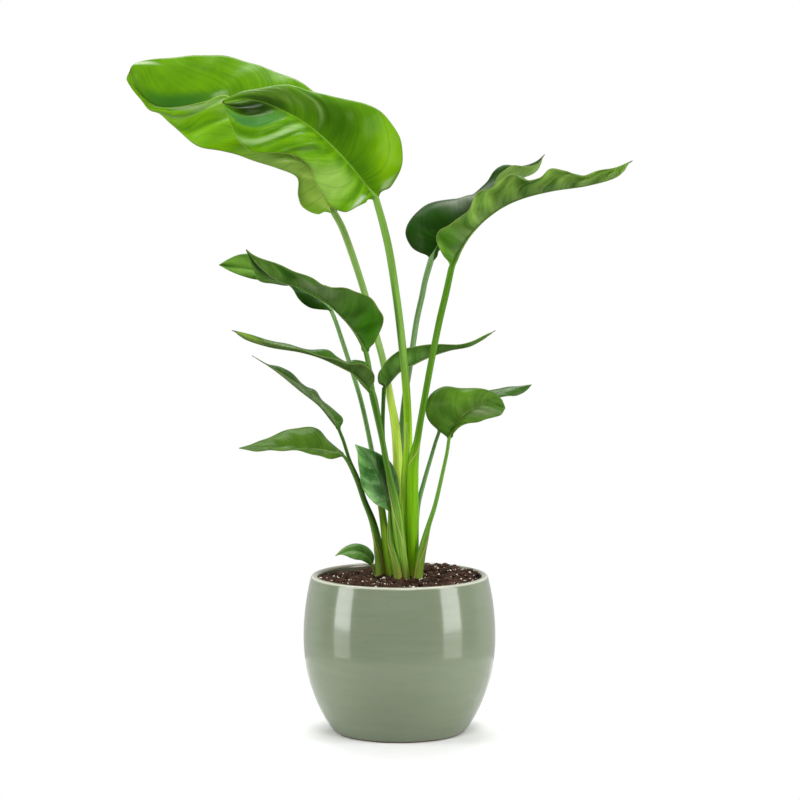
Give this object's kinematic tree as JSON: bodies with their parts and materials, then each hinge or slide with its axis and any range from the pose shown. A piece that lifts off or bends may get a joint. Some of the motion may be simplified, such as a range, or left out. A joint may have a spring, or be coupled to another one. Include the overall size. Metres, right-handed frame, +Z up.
{
  "type": "potted bird of paradise",
  "caption": "Bird of paradise houseplant: broad waved leaves on long sheathed stalks, standing in soil in a round glazed pot.",
  "frame": {"origin": "centre of the pot's flat underside", "axes": "+Z up; seen from the front, along +Y, +X is to the right"},
  "size_m": [0.6787, 0.26, 0.9159],
  "materials": {
    "glaze": "gloss",
    "soil": "matte",
    "leaf_sunny": "satin",
    "leaf_fresh": "satin",
    "leaf_deep": "satin",
    "stalk_sunny": "satin",
    "stalk_fresh": "satin",
    "stalk_deep": "satin"
  },
  "bodies": {
    "root": {"pot": "glaze", "soil": "soil", "stalk_a": "stalk_sunny", "blade_a": "leaf_sunny", "stalk_b": "stalk_sunny", "blade_b": "leaf_sunny", "stalk_c": "stalk_deep", "blade_c": "leaf_deep", "stalk_d": "stalk_deep", "blade_d": "leaf_deep", "stalk_e": "stalk_fresh", "blade_e": "leaf_fresh", "stalk_f": "stalk_deep", "blade_f": "leaf_deep", "stalk_g": "stalk_deep", "blade_g": "leaf_deep", "stalk_h": "stalk_deep", "blade_h": "leaf_deep", "stalk_i": "stalk_deep", "blade_i": "leaf_deep", "stalk_j": "stalk_fresh", "blade_j": "leaf_fresh", "stalk_k": "stalk_deep", "blade_k": "leaf_deep", "stalk_l": "stalk_deep", "blade_l": "leaf_deep", "stalk_m": "stalk_fresh", "blade_m": "leaf_fresh", "stalk_n": "stalk_deep", "blade_n": "leaf_deep"}
  },
  "joints": []
}
